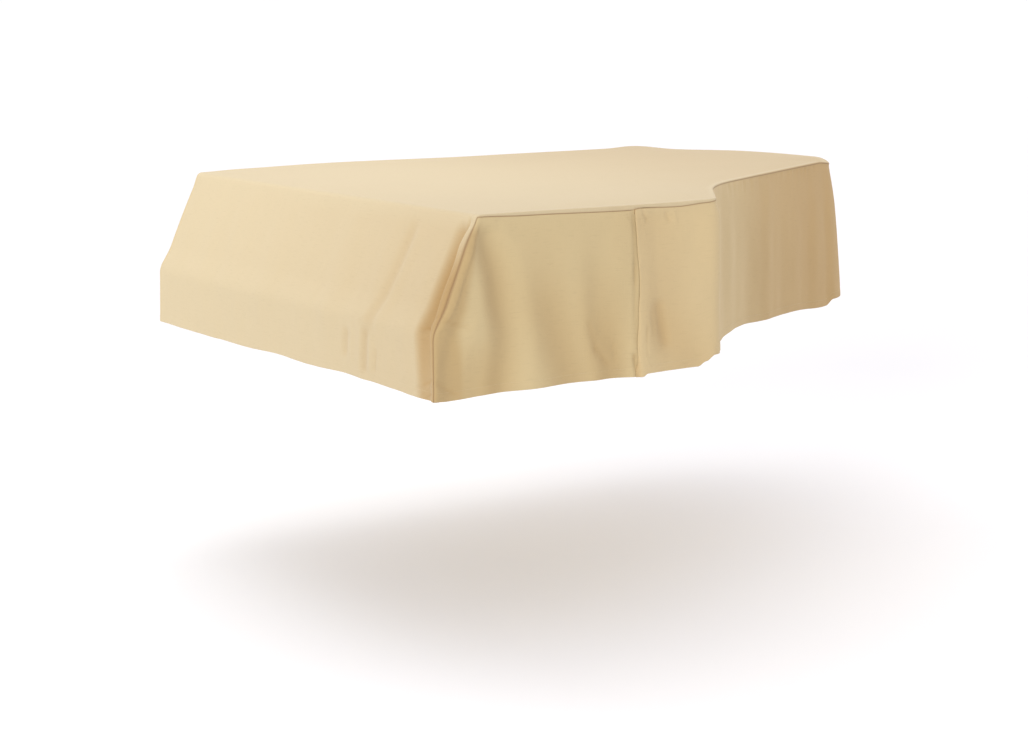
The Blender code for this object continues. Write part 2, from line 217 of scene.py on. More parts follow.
# Folds of the skirt, but for the treble side. A trough has a depth below zero
FOLDS = metres((
    # mark, then cloth beyond it at top and hem, half width, depth at top, half way and hem
    ("bass cheek", (0, 0, 90, -4, -2, -1)),
    ("treble cheek", (-1200, -1140, 80, 0, -3, 2), (-880, -840, 100, 0, 2, 2),
     (-520, -500, 70, 1, 3, 3), (-440, -400, 60, -1, -2, -2), (-330, -310, 50, 1, 2, 2),
     (-200, -250, 80, -1, -3, -2), (-100, -130, 50, 1, 2, 2)),
    ("bent side", (90, 60, 60, 3, 5, 4), (220, 190, 70, 0, -4, -4), (340, 300, 50, 3, 5, 4),
     (430, 400, 50, -1, -3, -2), (520, 490, 50, 1, 2, 2), (650, 620, 50, 2, 4, 4),
     (720, 700, 40, -2, -4, -5)),
    ("tail treble", (120, 100, 80, 0, -6, -10)),
    ("tail end", (-150, -120, 80, 1, 6, 9), (50, 60, 80, 0, -6, -10)),
    ("tail bass", (-180, -160, 80, 1, 5, 8), (160, 180, 110, 0, -5, -8), (420, 440, 140, 0, 5, 8)),
    ("bass cheek", (-700, -680, 140, 0, -4, -6), (-380, -400, 120, 0, 4, 6),
     (-80, -140, 80, -3, -8, -6)),
))

# Folds of the treble side, each drawn through five heights. Its two walls have their own widths
TREBLE_HEIGHTS = metres((20, 110, 200, 290, 380))  # below the lid
TREBLE_HEM = 0.355  # the folds run straight down from here
TREBLE_HEAD = (0.008, 0.034)  # below the lid where they start, and the height over which they grow
TREBLE_BEFORE = 0.050  # how far before the cheek they are felt
TREBLE_END = (0.900, 0.200)  # beyond the cheek where they end, and the cloth over which they fade
TREBLE_FOLDS = metres((
    # behind the lid's front edge and depth, both at each height, width of each wall
    ((-20, -29, -54, -81, -88), (13.5, -1.9, -6.5, -6.5, -5), 33, 52),
    ((-55, -53, -58, -10, -25), (11.2, 12.5, 12.5, -6.3, -15), 130, 108),
    ((-5, 40, 56, 64, 54), (-13.1, -16.6, -17.7, -14.5, -18), 62, 72),
    ((152, 162, 179, 206, 235), (-0.9, -4.4, -13.7, -16.3, -17.2), 97, 120),
    ((293, 293, 295, 310, 334), (0.2, -3.8, -10.4, -15.6, -13), 54, 80),
    ((311, 346, 362, 364, 364), (-0.8, 1, -3.4, -6, -5), 66, 40),
    ((432, 456, 463, 475, 495), (-6.4, -5.1, -7.7, -13.1, -4), 67, 130),
    ((615, 620, 614, 568, 564), (8.1, 6.3, 1.2, -2.5, -9), 87, 130),
))

# The trough of the front beside the treble cheek, in the same way, by the cloth beyond the cheek
CHEEK_FOLDS = metres((
    ((-24, -28, -30, -26, -20), (-11, -17, -19, -12, -5), 52, 22),
))

# How much warmer and darker the cotton looks where less light reaches it, from 0 to 1
CHEEK_TONES = (0.32, 0.50, 0.52, 0.48, 0.42)  # in that trough, at each height
CHEEK_WIDTHS = metres((74, 84, 90, 84, 74))  # how wide that is
CHEEK_EASE = 0.036
BESIDE_TONE = 0.32  # on the treble side, beside the cheek's seam
BESIDE_WIDTHS = metres((6, 12, 26, 44, 52))  # how wide that is at each height
BESIDE_EASE = 0.022
FOLD_TONE = 0.30  # on the shaded wall of a fold as deep as FOLD_DEEP
FOLD_DEEP = 0.020
WALL = 0.022  # that wall lies so far before the fold's bottom
CREASE_TONE = 0.13  # in a crease as deep as CREASE_DEEP
CREASE_DEEP = 0.004
CREASE_MOST = 1.5  # and at most so many times that tone
SLOPE_TONE = 0.07  # at the treble end of the slope before the lid
LID_TONE = 0.17  # at the tail end of the lid
# Where a tone starts, and the way over which it grows
TONE_HEAD = (0.006, 0.036)  # below the lid
CHEEK_HEAD = (0.02, 0.11)  # below the lid, in the trough beside the cheek
CHEEK_SEAM = (0.009, 0.008)  # from the cheek's seam, at the head of that trough
SLOPE_FOOT = (0.17, 0.09)  # below the lid: here the slope's tone ends
LID_BACK = (0.3, 1.0)  # behind the lid's front edge
SIDE_TONE_END = (0.800, 0.200)  # where it ends beyond the treble cheek, and over how much cloth
TONES_START = 0.012  # cloth over which those below start
TONES = (
    # mark, then cloth beyond it and tone all down the skirt
    ("bass cheek", (0.00, 0.00)),
    ("treble cheek", (-0.60, 0.00), (-0.10, 0.06), (0.02, 0.00), (0.28, 0.00), (0.36, 0.05),
     (0.43, 0.00)),
    ("bent side", (0.08, 0.05), (0.35, 0.32)),
    ("tail treble", (-0.15, 0.43), (0.05, 0.45), (0.30, 0.20)),
    ("tail bass", (0.00, 0.10)),
)

# ---- what only the fine cloth has ----

# How far down the lid's edge the seam round the top lies
SEAM_DROPS = metres((
    # mark, then cloth beyond it and drop
    ("bass cheek", (0, 6), (-600, 6.5)),
    ("treble cheek", (0, 5.2), (120, 8.5), (385, 12), (410, 8.2)),
    ("treble corner", (-100, 11), (-30, 7.5), (30, 3.8)),
    ("tail treble", (0, 3.8)),
    ("tail end", (0, 5.5)),
))

# Where the lap's upper edge runs, beyond the slit
LAP_SHIFTS = (
    # share of the skirt, cloth beyond the slit
    (0.00, -0.0100), (0.20, -0.0078), (0.45, -0.0040), (0.65, -0.0066),
    (0.82, -0.0096), (0.92, -0.0080), (1.00, -0.0104),
)

# Creases listed one by one, along straight runs. A trough has a depth below zero
CREASES = metres((
    # cloth beyond the treble cheek and level at its start, the same at its end, half width, depth
    # the dimple at the head of the trough beside the treble cheek
    (-22, 14, -26, 56, 7, -3),
    # puckers at the head of that seam
    (-32, 12, -12, 34, 4, -1.8),
    (-22, 6, -8, 22, 3, 1.4),
    (-36, 34, -18, 64, 5, 1.4),
    # puckers at the bend over the key bed
    (-66, 268, -4, 236, 7, -2.8),
    (-54, 290, -3, 252, 7, 2),
    (60, 266, 3, 240, 7, -2.4),
    (52, 290, 4, 254, 6, 1.8),
    # puckers at the hem's corner
    (-76, 396, -6, 366, 6, -2.2),
    (-54, 404, -10, 380, 5, 1.8),
    (-38, 408, -4, 392, 4, -1.8),
    (46, 400, 4, 372, 6, -2),
    (34, 406, 6, 388, 5, 1.6),
    # the diagonal crease of the front panel and the short troughs over its hem
    (-246, 50, -286, 300, 34, -3.2),
    (-212, 60, -246, 310, 34, 1.8),
    (-290, 272, -330, 288, 14, -1.4),
    (-398, 310, -404, 372, 24, -3.4),
    (-368, 310, -374, 384, 20, 1.8),
    (-302, 300, -310, 396, 26, -5),
    (-272, 310, -278, 390, 20, 2.6),
    (-256, 340, -264, 388, 14, -2.4),
    # the hooked feet of the treble side's troughs
    (294, 280, 312, 352, 12, -1.8),
    (306, 340, 336, 382, 11, -1.8),
    (322, 322, 342, 370, 14, 1.2),
    (348, 330, 352, 376, 10, -1),
    # the dip beside the lap and its small opening at the hem
    (384, 20, 388, 200, 8, -2.2),
    (386, 150, 388, 350, 8, -2.2),
    (385, 362, 391, 416, 7, -6),
    # the troughs beside the lap, over the hem
    (444, 252, 466, 356, 26, -3.8),
    (426, 270, 432, 330, 12, -1.8),
    # puckers of the lap's own edge
    (409, 300, 411, 372, 3, -2.2),
    (404, 368, 418, 400, 5, 1.6),
    (424, 392, 452, 404, 5, 1),
    # puckers under the seam beside the lap
    (366, 20, 376, 44, 4, -1.4),
    (406, 18, 422, 52, 6, -2.6),
    (470, 28, 480, 54, 8, -2),
    (490, 24, 498, 60, 7, 1.2),
))

CREASE_ENDS = 4  # each end of a crease fades over one part in so many of its run

# Small ripples that hang from the seam round the top
PUCKERS = metres((
    # mark, cloth beyond it where they start and end, height, reach down the skirt
    ("treble cheek", 20, 120, 0.5, 20),
    ("treble cheek", 300, 400, 0.6, 18),
    ("treble corner", 60, 330, 0.8, 18),
    ("bent side", -20, 780, 1.9, 24),
    ("tail treble", 0, 800, 1, 30),
    ("tail bass", 50, 1300, 0.6, 26),
))

PUCKER_WAVES = (
    # turns round the plan, shift by a slower wave, its turns, turns down the cloth, height
    (271.0, 1.3, 43.0, 0.0, 0.6),
    (163.0, 2.1, 29.0, 20.0, 1.0),
)
PUCKER_UNEVEN = (0.6, 0.4, 17.0, 1.0)  # their height, how much it varies, that wave and its phase
PUCKER_SIDES = 0.03  # cloth over which a row of puckers grows
PUCKER_HEAD = 0.006  # cloth below the seam over which they grow

# Slow swells of the hanging cloth, and those of the cloth on the lid
SWELLS = (
    # waves a metre round the plan, waves a metre down the cloth, phase, height
    (3.1, 1.3, 0.4, 0.0007),
    (5.3, -2.1, 2.1, 0.0005),
    (8.7, 3.4, 4.0, 0.00025),
    (13.9, -4.7, 5.2, 0.00014),
    (21.0, 7.9, 1.1, 0.00008),
)
LID_SWELLS = (
    # waves a metre to the right, waves a metre back, phase, height
    (0.9, 1.4, 0.3, 0.00050),
    (-1.7, 2.3, 2.6, 0.00035),
    (3.3, 1.9, 4.4, 0.00020),
    (2.6, -4.1, 1.2, 0.00015),
)
LID_SWELL = 0.0012  # all of those together
SWELL_HEAD = 0.08  # cloth below the lid over which the hanging cloth's swells grow
LID_SWELL_EDGE = 0.09  # and cloth on the lid over which its own do

# ---- lights ----

FILL_COLOUR = (0.94, 0.92, 0.96)
HORIZON = (1.03, 1.03, 1.03)
HORIZON_BAND = (0.02, 0.10)  # heights over which it gives way to the fill
SUN_AWAY = 3  # how far off a sun stands
SUNS = (
    # name, direction that it comes from, spread in degrees, colour
    ("front", (0.54, -0.80, 0.25), 20, (1.0, 0.98, 0.95)),
    ("back", (-0.10, 0.95, 0.30), 40, (1.0, 0.94, 0.80)),
)
LAMPS = (
    # name, place, size, colour
    ("overhead", (-0.40, -0.50, 1.70), 2.4, (0.97, 1.0, 1.0)),
    ("left", (-2.00, -2.40, 0.15), 1.6, (0.84, 0.96, 1.0)),
)

# ---- camera, at the height of a standing viewer's chest ----

FLOOR_BELOW = 1.000  # lid above the floor
FLOOR_SIZE = 1200.0
CAMERA_PLACE = (4.77527, -3.01035, 0.45922)
CAMERA_TURN = math.radians(59.292)
CAMERA_DOWN = math.radians(9.790)
CAMERA_ROLL = math.radians(-1.071)
SENSOR = 36.0
LENS = 77.86
SEEN_TO = 2000.0  # the camera sees no further


# ---- settings ----

class ClothSettings(bpy.types.PropertyGroup):
    """Sizes and colours of the cloth."""

    thickness: FloatProperty(
        name="Thickness", description="Thickness of the cotton", default=0.0008, min=0.0003,
        max=0.001, precision=4, unit="LENGTH",
    )
    relief: FloatProperty(
        name="Relief", description="Share of the creases, puckers and swells", default=1.0,
        min=0.0, max=2.0, subtype="FACTOR",
    )
    cotton: FloatVectorProperty(
        name="Cotton", description="Colour of the undyed cotton", default=(0.493, 0.402, 0.243),
        min=0.0, max=1.0, subtype="COLOR",
    )
    # painted shadow: the colour the cotton is mixed towards deep in a seam
    seam_shadow_colour: FloatVectorProperty(
        name="Crease", description="Colour of the cotton deep in a seam",
        default=(0.270, 0.167, 0.077), min=0.0, max=1.0, subtype="COLOR",
    )
    shade: FloatVectorProperty(
        name="Shade", description="What the cotton's colour is multiplied by in full shade",
        default=(0.60, 0.36, 0.06), min=0.0, max=1.0, subtype="COLOR",
    )
    thread: FloatVectorProperty(
        name="Thread", description="Colour of the sewing thread", default=(0.560, 0.462, 0.286),
        min=0.0, max=1.0, subtype="COLOR",
    )
    yarn: FloatProperty(
        name="Yarn", description="Distance between two yarns of the weave", default=0.0009,
        min=0.0004, max=0.003, precision=4, unit="LENGTH",
    )


class StudioSettings(bpy.types.PropertyGroup):
    """The floor and the lights."""

    floor: FloatVectorProperty(
        name="Floor", description="Colour of the floor", default=(0.93, 0.93, 0.93),
        min=0.0, max=1.0, subtype="COLOR",
    )
    fill: FloatProperty(
        name="Fill", description="Strength of the even light from all round", default=1.0,
        min=0.0, max=5.0,
    )
    front: FloatProperty(
        name="Front", description="Strength of the soft light from before the treble corner",
        default=1.5, min=0.0, max=10.0,
    )
    back: FloatProperty(
        name="Back", description="Strength of the soft light from behind the tail", default=0.7,
        min=0.0, max=10.0,
    )
    overhead: FloatProperty(
        name="Overhead", description="Power of the wide lamp over the lid", default=19.9,
        min=0.0, max=2000.0, unit="POWER",
    )
    left: FloatProperty(
        name="Left", description="Power of the lamp before the bass corner", default=8.0,
        min=0.0, max=2000.0, unit="POWER",
    )


# ---- the cover's surface ----

class Path:
    """A line of straights and arcs through corners that are rounded off.

    A closed path starts half way round its first corner, an open one at its first corner.
    """

    def __init__(self, corners, closed):
        self.closed = closed
        self.pieces = []
        self.mark = {}
        self.length = 0.0
        count = len(corners)
        places = [np.array(row[1:3]) for row in corners]
        radii = [row[3] for row in corners]
        ways = [places[(i + 1) % count] - places[i] for i in range(count)]
        headings = [math.atan2(way[1], way[0]) for way in ways]
        turns = [math.remainder(headings[i] - headings[i - 1], math.tau) for i in range(count)]
        if not closed:
            turns[0] = turns[-1] = 0.0
        halves = [radius * abs(turn) / 2 for radius, turn in zip(radii, turns)]
        bends = [math.copysign(1 / radius, turn) if radius else 0.0
                 for radius, turn in zip(radii, turns)]
        reaches = [radius * math.tan(abs(turn) / 2) for radius, turn in zip(radii, turns)]
        self.heading = headings[0] - turns[0] / 2
        half_round = self.along(halves[0], self.heading, bends[0])
        self.point = places[0] + self.along(reaches[0], headings[0], 0.0) - half_round
        for i in range(count if closed else count - 1):
            after = (i + 1) % count
            self.mark[corners[i][0]] = self.length
            self.add(halves[i], bends[i])
            self.add(math.dist(places[i], places[after]) - reaches[i] - reaches[after], 0.0)
            self.add(halves[after], bends[after])

    def add(self, length, bend):
        """Go on for LENGTH, turning by BEND a metre."""
        if length > 0.0:
            self.pieces.append((self.length, self.point, self.heading, bend))
            self.point = self.point + self.along(length, self.heading, bend)
            self.heading += bend * length
            self.length += length

    @staticmethod
    def along(travel, heading, bend):
        """Way covered in TRAVEL from a start at HEADING, on a line that turns by BEND a metre."""
        if bend == 0.0:
            return np.stack([travel * math.cos(heading), travel * math.sin(heading)], -1)
        end = heading + bend * travel
        right, back = np.sin(end) - math.sin(heading), math.cos(heading) - np.cos(end)
        return np.stack([right, back], -1) / bend

    def at(self, stations):
        """Points and headings at STATIONS."""
        stations = stations % self.length if self.closed else stations
        points = np.zeros(stations.shape + (2,))
        headings = np.zeros(stations.shape)
        for begin, start, heading, bend in self.pieces:
            here = (stations >= begin) | (begin == 0.0)
            travel = stations[here] - begin
            points[here] = start + self.along(travel, heading, bend)
            headings[here] = heading + bend * travel
        return points, headings

    def beyond(self, mark, cloth):
        """Station that lies CLOTH beyond a mark."""
        station = self.mark[mark] + cloth
        return station % self.length if self.closed else station

    def apart(self, one, other):
        """Signed way from station OTHER to station ONE, the short way round."""
        return (one - other + self.length / 2) % self.length - self.length / 2


PLAN = Path(LID_CORNERS, closed=True)
FRONT = Path(FRONT_CORNERS, closed=False)
FRONT_TURN = math.atan2(FRONT_CORNERS[1][2], FRONT_CORNERS[1][1])
FRONT_START = ROLL_DROP / math.sin(FRONT_TURN)  # end of the roll, along the front's profile
FRONT_HEM = FRONT.length - (FRONT_CORNERS[-1][2] - HEM_DROP)
HEM_LEVEL = FRONT_HEM - FRONT_START + ROLL_LENGTH
TREBLE_CHEEK = PLAN.mark["treble cheek"]
SLIT = TREBLE_CHEEK + SLIT_BACK
TAIL_BASS = PLAN.mark["tail bass"]


def mix(one, other, share):
    """Value that lies SHARE of the way from ONE to OTHER."""
    return one + (other - one) * share


def ease(share):
    """SHARE held between 0 and 1, with a soft start and end."""
    share = np.clip(share, 0.0, 1.0)
    return share * share * (3 - 2 * share)


def unit(vectors):
    """VECTORS at a length of one."""
    return vectors / np.maximum(np.linalg.norm(vectors, axis=-1, keepdims=True), 1e-12)


def growing(way, growth):
    """0 as far as the first value of GROWTH, then eased to 1 over the second."""
    start, length = growth
    return ease((way - start) / length)


def fading(way, fade):
    """1, then eased to 0 over the second value of FADE, and 0 from the first on."""
    end, length = fade
    return ease((end - way) / length)


def bump(off):
    """A soft bump: 1 in its middle, 0 one half width away."""
    return np.where(np.abs(off) < 1, (1 + np.cos(np.pi * off)) / 2, 0.0)


def along(rows, place):
    """Second value of ROWS at PLACE among their first values, eased from row to row."""
    places, values = np.array(rows).T
    i = np.clip(np.searchsorted(places, place, side="right") - 1, 0, len(rows) - 2)
    return mix(values[i], values[i + 1], ease((place - places[i]) / (places[i + 1] - places[i])))


def around(table, station):
    """Value of TABLE at STATION, eased from row to row round the plan."""
    rows = sorted((PLAN.beyond(mark, cloth), value)
                  for mark, *marked in table for cloth, value in marked)
    before = (rows[-1][0] - PLAN.length, rows[-1][1])
    after = (rows[0][0] + PLAN.length, rows[0][1])
    return along([before, *rows, after], station % PLAN.length)


def on_front(station):
    """Whether STATION lies on the front."""
    return station % PLAN.length <= TREBLE_CHEEK


def past_treble(station):
    """Signed way from the treble cheek to STATION."""
    return PLAN.apart(station, TREBLE_CHEEK)


def past_bass(station):
    """Signed way from the bass cheek to STATION."""
    return PLAN.apart(station, 0.0)


def folds(station, share):
    """How far the folds stand out at STATION, SHARE of the way down the skirt."""
    total = np.zeros(np.broadcast(station, share).shape)
    for mark, *marked in FOLDS:
        for at_top, at_hem, width, top, middle, hem in marked:
            centre = PLAN.beyond(mark, mix(at_top, at_hem, share))
            upper, lower = mix(top, middle, ease(2 * share)), mix(middle, hem, ease(2 * share - 1))
            total += np.where(share < 0.5, upper, lower) * bump(PLAN.apart(station, centre) / width)
    return total


def drawn_through(values, height):
    """A smooth line through VALUES at TREBLE_HEIGHTS, read off at HEIGHT."""
    first, second = TREBLE_HEIGHTS[:2]
    place = np.clip((height - first) / (second - first), 0.0, len(values) - 1.001)
    i = place.astype(int)
    part = place - i
    ends = np.array([2 * values[0] - values[1], *values, 2 * values[-1] - values[-2]])
    a, b, c, d = (ends[i + k] for k in range(4))
    slope, bend, twist = c - a, 2 * a - 5 * b + 4 * c - d, 3 * b - a - 3 * c + d
    return (2 * b + slope * part + bend * part ** 2 + twist * part ** 3) / 2


def drape(table, across, height):
    """How far the folds of TABLE stand out at the place ACROSS them."""
    total = np.zeros(across.shape)
    for places, depths, before, after in table:
        off = across - drawn_through(places, height)
        total += drawn_through(depths, height) * bump(off / np.where(off < 0, before, after))
    return total


def treble_folds(station, points):
    """How far the folds of the treble side and of the front beside it stand out."""
    height = np.minimum(-points[..., 2], TREBLE_HEM)
    apart = past_treble(station)
    near = ease(1 + apart / TREBLE_BEFORE) * fading(apart, TREBLE_END)
    total = drape(TREBLE_FOLDS, points[..., 1] + ORIGIN_BACK, height) * near
    total += drape(CHEEK_FOLDS, apart, height)
    return total * growing(-points[..., 2], TREBLE_HEAD)


def side_roll(level):
    """Way out and down on the roll over the lid's side edge."""
    angle = np.clip((level - ROLL_FLAT) / EDGE_ROUND, 0.0, math.pi / 2)
    out = np.clip(level, 0.0, ROLL_FLAT) - ROLL_DROP + EDGE_ROUND * np.sin(angle)
    past = np.maximum(level - ROLL_FLAT - EDGE_ROUND * math.pi / 2, 0.0)
    return out, EDGE_ROUND * (1 - np.cos(angle)) + past


def front_roll(level):
    """Way out and down on the soft roll over the lid's front edge."""
    radius = ROLL_DROP / (1 - math.cos(FRONT_TURN))
    angle = FRONT_TURN * np.clip(level / ROLL_LENGTH, 0.0, 1.0)
    return radius * (np.sin(angle) - math.tan(FRONT_TURN / 2)), radius * (1 - np.cos(angle))


def forward(station):
    """Share of the front's slope that draws the cloth forward at STATION."""
    drawn = np.where(on_front(station), 1.0, 0.0)
    for lean in (past_treble(station) / SLIT_BACK, -past_bass(station) / BASS_LEAN):
        drawn = np.where((lean > 0) & (lean < 1), 1 - lean, drawn)
    return drawn


def fall(level):
    """Way out and down on the front's profile, and the share of the skirt, below the roll."""
    profile, _ = FRONT.at(np.maximum(level - ROLL_LENGTH, 0.0) + FRONT_START)
    share = np.maximum(profile[..., 1] - ROLL_DROP, 0.0) / (HEM_DROP - ROLL_DROP)
    return profile[..., 0], profile[..., 1], share


def base(station, level):
    """Points on the outer face of the cover, with its main folds."""
    place, heading = PLAN.at(station)
    outward = np.stack([np.sin(heading), -np.cos(heading)], -1)
    facing = np.maximum(0.0, -outward[..., 1]) ** 2
    side_out, side_down = side_roll(level)
    front_out, front_down = front_roll(level)
    below = level > ROLL_LENGTH
    fall_out, fall_down, share = fall(level)
    front_out = np.where(below, fall_out, front_out)
    front_down = np.where(below, fall_down, front_down)
    side_down = np.where(below, fall_down, side_down)
    down = mix(side_down, front_down, facing)

    # the section at this level: the lid's plan, drawn in or out at its sides and at its front
    frontal = ease(facing / FRONT_FACING)
    stretch = np.stack([np.clip(place[..., 0] / HALF_WIDTH, -1.0, 1.0), np.zeros(facing.shape)], -1)
    sideways = mix(outward, stretch, frontal[..., None])
    cheek = np.where(place[..., 0] > 0, TREBLE_CHEEK, 0.0)
    flare = mix(around(FLARES, station), around(FLARES, cheek), frontal)
    side_out = side_out + flare * share * (1 + FLARE_BOW * (1 - share))
    place = place + side_out[..., None] * sideways
    place[..., 1] -= front_out * forward(station)
    place += outward * (folds(station, share) * ease(share * FOLD_START))[..., None]
    down = down + (around(HEMS, station) - HEM_DROP) * share * share
    inside = np.maximum(-level, 0.0)[..., None]
    place = place + unit(np.array(MIDDLE_OF_TOP) - place) * inside

    felt = np.where(level < 0, 1 + level / LIFT_INSIDE, 1 - level / LIFT_BELOW)
    height = LID_TOP - down + around(LIFTS, station) * ease(felt)
    return np.stack([place[..., 0], place[..., 1] - ORIGIN_BACK, height], -1)


def reach_to_middle(station):
    """Cloth from the start of the roll to the middle of the top."""
    start = base(station, np.zeros(station.shape))[..., :2] + (0.0, ORIGIN_BACK)
    return np.linalg.norm(start - MIDDLE_OF_TOP, axis=-1)


def facing_out(station, level):
    """Outward normals of the cover."""
    round_it = base(station + STEP, level) - base(station - STEP, level)
    down_it = base(station, level + STEP) - base(station, level - STEP)
    outward = unit(np.cross(round_it, -down_it))
    return np.where((level < FLAT_LEVEL)[..., None], (0.0, 0.0, 1.0), outward)


def seam_level(station):
    """Level of the seam round the top."""
    return ROLL_LENGTH - ROLL_DROP + around(SEAM_DROPS, station)


def creases(station, level):
    """Creases, listed one by one."""
    total = np.zeros(station.shape)
    for cloth, start, cloth_end, end, width, depth in CREASES:
        across, down = past_treble(station - cloth), level - start
        run, drop = cloth_end - cloth, end - start
        length = math.hypot(run, drop)
        part = (across * run + down * drop) / length ** 2
        off = (across * drop - down * run) / length
        ends = ease(part * CREASE_ENDS + 0.5), ease((1 - part) * CREASE_ENDS + 0.5)
        total += depth * bump(off / width) * ends[0] * ends[1]
    return total


def puckers(station, level):
    """Small ripples that hang from the seam round the top."""
    total = np.zeros(station.shape)
    below = np.maximum(level - seam_level(station), 0.0)
    waves = sum(part * np.sin(station * turn + shift * np.sin(station * slow) + level * lean)
                for turn, shift, slow, lean, part in PUCKER_WAVES)
    usual, more, turn, phase = PUCKER_UNEVEN
    uneven = usual + more * np.sin(station * turn + phase)
    for mark, start, end, height, reach in PUCKERS:
        middle, half = (start + end) / 2, (end - start) / 2
        off = np.abs(PLAN.apart(station, PLAN.beyond(mark, middle)))
        window, hang = ease((half - off) / PUCKER_SIDES), np.exp(-below / reach)
        total += height * window * waves * uneven * hang * ease(below / PUCKER_HEAD)
    return total


def swells(table, one, other):
    """Slow unevenness of cloth, over two ways of it."""
    waves = [height * np.sin(math.tau * (one * a + other * b) + phase)
             for a, b, phase, height in table]
    return np.sum(waves, axis=0)


def seam_relief(station, level):
    """The swelling of turned-in cloth beside the seam round the top, below the lid's edge."""
    past = level - seam_level(station)
    on_side = ease(past_treble(station) / SEAM_FADE) * ease(-past_bass(station) / SEAM_FADE)
    over = SEAM_OVER * ease(1 + past / SEAM_OVER_REACH)
    under = SEAM_UNDER * (1 - ease(past / SEAM_UNDER_REACH))
    return np.where(on_front(station), 0.0, on_side) * np.where(past < 0, over, under)


def cheek_relief(station, level):
    """The band of turned-in cloth beside each cheek's seam, on the front."""
    _, _, share = fall(level)
    total = np.zeros(station.shape)
    for into in (-past_treble(station), past_bass(station)):
        width = mix(*BAND_WIDTHS, share)
        band = mix(-BAND_SINK, 1.0, into / width) * (1 - ease((into - width) / BAND_END))
        beyond = -BAND_SINK + BEYOND_BAND * bump((into + BEYOND_MIDDLE) / BEYOND_HALF)
        height = mix(BAND_HEIGHT, BAND_LOW * BAND_HEIGHT, growing(share, BAND_FALL))
        height = height * ease(level / BAND_HEAD)
        total += height * np.where(into >= 0, band, beyond * (1 - growing(-into, BEYOND_END)))
    return total


def hem_relief(level):
    """The swelling of the doubled hem and the dent of its stitches."""
    above = HEM_LEVEL - level - HEM_STITCH
    return HEM_SWELL * (1 - ease(above / HEM_FADE)) - STITCH_DENT * bump(above / DENT_HALF)


def surface(station, level, rise=0.0):
    """Points on the outer face of the fine cloth, and its outward normals."""
    points, normals = base(station, level), facing_out(station, level)
    relief = creases(station, level) + puckers(station, level) + treble_folds(station, points)
    relief += swells(SWELLS, station, level) * ease(level / SWELL_HEAD)
    on_lid = LID_SWELL + swells(LID_SWELLS, points[..., 0], points[..., 1])
    relief += on_lid * ease(-level / LID_SWELL_EDGE)
    relief *= bpy.context.scene.cover_cloth.relief
    relief += seam_relief(station, level) + cheek_relief(station, level) + hem_relief(level)
    return points + normals * (relief + rise)[..., None], normals


def shade(station, level, points):
    """Tone of the cotton where less light reaches it, from 0 to 1."""
    height = np.clip(-points[..., 2], TREBLE_HEIGHTS[0], TREBLE_HEM)
    apart = past_treble(station)
    place = points[..., 1] + ORIGIN_BACK
    front = ease((drawn_through(CHEEK_WIDTHS, height) + apart) / CHEEK_EASE)
    front *= drawn_through(CHEEK_TONES, height)
    front *= np.maximum(growing(height, CHEEK_HEAD), growing(-apart, CHEEK_SEAM))
    front += SLOPE_TONE * (1 - growing(height, SLOPE_FOOT)) * ease(1 + apart / TREBLE_CHEEK)
    beside = BESIDE_TONE * (1 - ease((apart - drawn_through(BESIDE_WIDTHS, height)) / BESIDE_EASE))
    walls = FOLD_TONE * np.clip(-drape(TREBLE_FOLDS, place + WALL, height) / FOLD_DEEP, 0.0, 1.0)
    side = np.maximum(beside, walls * fading(apart, SIDE_TONE_END))
    beyond = (apart > 0) & (apart < SIDE_TONE_END[0])
    total = np.where(on_front(station), front, np.where(beyond, side, 0.0))
    total += CREASE_TONE * np.clip(-creases(station, level) / CREASE_DEEP, 0.0, CREASE_MOST)
    total = total * growing(-points[..., 2], TONE_HEAD)
    total += around(TONES, station) * ease(level / TONES_START)
    return np.where(level < 0, LID_TONE * growing(place, LID_BACK), total)


def lap_shift(station, level):
    """How far the cloth beside the slit is drawn along, so that the lap's edge isn't straight."""
    _, _, share = fall(level)
    return along(LAP_SHIFTS, share) * (1 - ease(np.abs(PLAN.apart(station, SLIT)) / LAP_REACH))


def lap_rise(station, level):
    """How far the bent side's cloth stands off the cloth it laps over."""
    cloth = PLAN.apart(station, SLIT)
    flat = mix(LAP_RISE, LAP_SEAT, np.clip(cloth / LAP_WIDTH, 0.0, 1.0))
    flat = mix(LAP_SEAT, flat, ease(level / LAP_HEAD))
    eased = LAP_SEAT * (1 - ease((cloth - LAP_WIDTH) / LAP_EASE))
    return np.where(cloth > LAP_WIDTH, eased, flat)


# ---- cloth from grids ----

def turned(past):
    """Place along the cloth and depth under it, PAST the start of a turned-in edge."""
    angle = np.clip(past / TURN, 0.0, math.pi)
    back = np.maximum(past - math.pi * TURN, 0.0)
    return np.minimum(past, 0.0) + TURN * np.sin(angle) - back, TURN * (1 - np.cos(angle))


def steps(start, end, fine, coarse, reach):
    """Places from START to END, FINE apart at both ends and COARSE apart beyond REACH from them."""
    places = [0.0]
    length = end - start
    while places[-1] < length:
        near = min(places[-1], length - places[-1])
        places.append(places[-1] + mix(fine, coarse, float(ease(near / reach))))
    return start + np.array(places) * length / places[-1]


def turned_in(width):
    """Places past an edge with WIDTH of cloth turned in, and their depths, or the plain edge."""
    if not width:
        return np.array([TURN]), np.zeros(1)
    arc = np.linspace(0.0, math.pi * TURN, 7)[1:]
    return turned(np.concatenate([arc, arc[-1] + np.linspace(0.0, width, 4)[1:]]))


def edged(places, before, after):
    """PLACES with turned-in cloth BEFORE the first and AFTER the last: places and depths."""
    low, high = places[0] + TURN, places[-1] - TURN
    inner = places[(places > low) & (places < high)]
    (first, first_depths), (last, last_depths) = turned_in(before), turned_in(after)
    values = np.concatenate([(low - first)[::-1], [low], inner, [high], high + last])
    return values, np.concatenate([first_depths[::-1], np.zeros(len(inner) + 2), last_depths])


